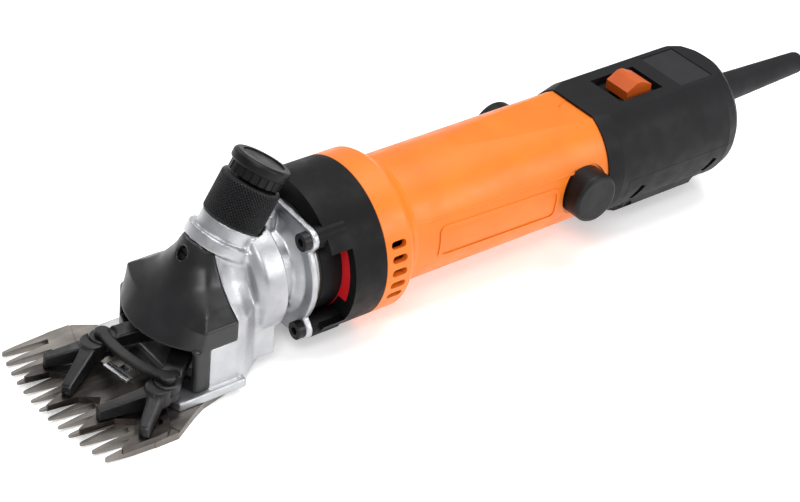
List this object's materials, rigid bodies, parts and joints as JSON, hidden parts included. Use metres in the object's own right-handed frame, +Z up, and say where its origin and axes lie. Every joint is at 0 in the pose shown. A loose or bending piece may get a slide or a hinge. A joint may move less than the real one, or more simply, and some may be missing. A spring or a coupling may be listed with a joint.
{
  "type": "sheep shears",
  "caption": "Electric hand shears for sheep: round motor body, cast head with a tension knob, forked feet and a toothed comb and cutter.",
  "frame": {"origin": "on the rest plane, under the middle of the tool's bounding box", "axes": "+X along the motor axis from the comb to the cable sleeve, +Z up from the rest plane, +Y to the left when looking towards +X"},
  "size_m": [0.3856, 0.0764, 0.0855],
  "materials": {
    "comb_steel": "ground, satin",
    "cutter_steel": "dark hardened steel with ground edges",
    "fork_steel": "blackened, satin",
    "black_steel": "black oxide",
    "bright_steel": "ground",
    "cast_aluminium": "satin cast",
    "black_plastic": "fine texture",
    "orange_plastic": "satin",
    "red_plastic": "satin",
    "gasket": "fibre",
    "brass": "machined",
    "core_steel": "stacked laminations",
    "copper": "enamelled copper",
    "carbon": "pressed carbon",
    "capacitor_film": "moulded",
    "label": "plain plate, no text",
    "rubber": "soft rubber"
  },
  "bodies": {
    "frame": {"bearing_plate": "cast_aluminium", "brush_cap_left": "black_plastic", "brush_cap_right": "black_plastic", "brush_holders": "brass", "brush_springs": "bright_steel", "cable_clamp": "black_plastic", "cable_clamp_screws": "bright_steel", "cable_sleeve": "rubber", "capacitor": "capacitor_film", "carbon_brushes": "carbon", "centre_post": "bright_steel", "comb": "comb_steel", "comb_screws": "black_steel", "crank_bearing": "bright_steel", "crank_bush": "brass", "field_windings": "copper", "front_motor_bearing": "bright_steel", "gear_case": "black_plastic", "gear_liner": "red_plastic", "head_casting": "cast_aluminium", "head_gasket": "gasket", "head_screws": "black_steel", "label_plate": "label", "lower_cover": "black_plastic", "lower_cover_screws": "black_steel", "motor_housing": "orange_plastic", "nose_cover": "black_plastic", "nose_cover_screw": "black_steel", "rear_housing": "black_plastic", "rear_motor_bearing": "bright_steel", "stator_core": "core_steel", "switch_body": "black_plastic", "tension_sleeve": "black_steel"},
    "armature": {"armature_shaft": "bright_steel", "armature_core": "core_steel", "armature_windings": "copper", "commutator": "copper", "fan": "black_plastic"},
    "crank": {"crank_shaft": "bright_steel", "drive_gear": "bright_steel", "crank_roller": "bright_steel"},
    "fork_body": {"fork": "fork_steel", "cutter": "cutter_steel", "chicken_foot_left": "fork_steel", "chicken_foot_right": "fork_steel", "foot_yoke": "fork_steel", "yoke_clip": "bright_steel"},
    "tension_carriage": {"tension_pin": "bright_steel", "tension_spring": "bright_steel"},
    "knob": {"tension_nut": "black_plastic"},
    "switch": {"switch_slider": "orange_plastic"}
  },
  "joints": [
    {"name": "armature_spin", "type": "hinge", "parent": "frame", "child": "armature", "pos_m": [-0.06125, 0, 0.033], "axis": [1, 0, 0], "range_deg": [0, 720]},
    {"name": "crank_turn", "type": "hinge", "parent": "frame", "child": "crank", "pos_m": [-0.06125, 0, 0.019], "axis": [1, 0, 0], "range_deg": [-180, 0]},
    {"name": "fork_swing", "type": "hinge", "parent": "frame", "child": "fork_body", "pos_m": [-0.11725, 0, 0.02], "axis": [0, 0, -1], "range_deg": [0, 18]},
    {"name": "tension_feed", "type": "slide", "parent": "frame", "child": "tension_carriage", "axis": [0.515, 0, 0.8572], "range_m": [0, 0.0025]},
    {"name": "tension_turn", "type": "hinge", "parent": "tension_carriage", "child": "knob", "pos_m": [-0.11165, 0, 0.0576], "axis": [0.515, 0, 0.8572], "range_deg": [0, 720]},
    {"name": "switch_slide", "type": "slide", "parent": "frame", "child": "switch", "axis": [-1, 0, 0], "range_m": [0, 0.005]}
  ],
  "couplings": [
    {"joint": "crank_turn", "follows": "armature_spin", "ratio": -0.25},
    {"joint": "fork_swing", "follows": "armature_spin", "ratio": 0.025},
    {"joint": "tension_turn", "follows": "tension_feed", "rad_per_m": 5026.5}
  ]
}
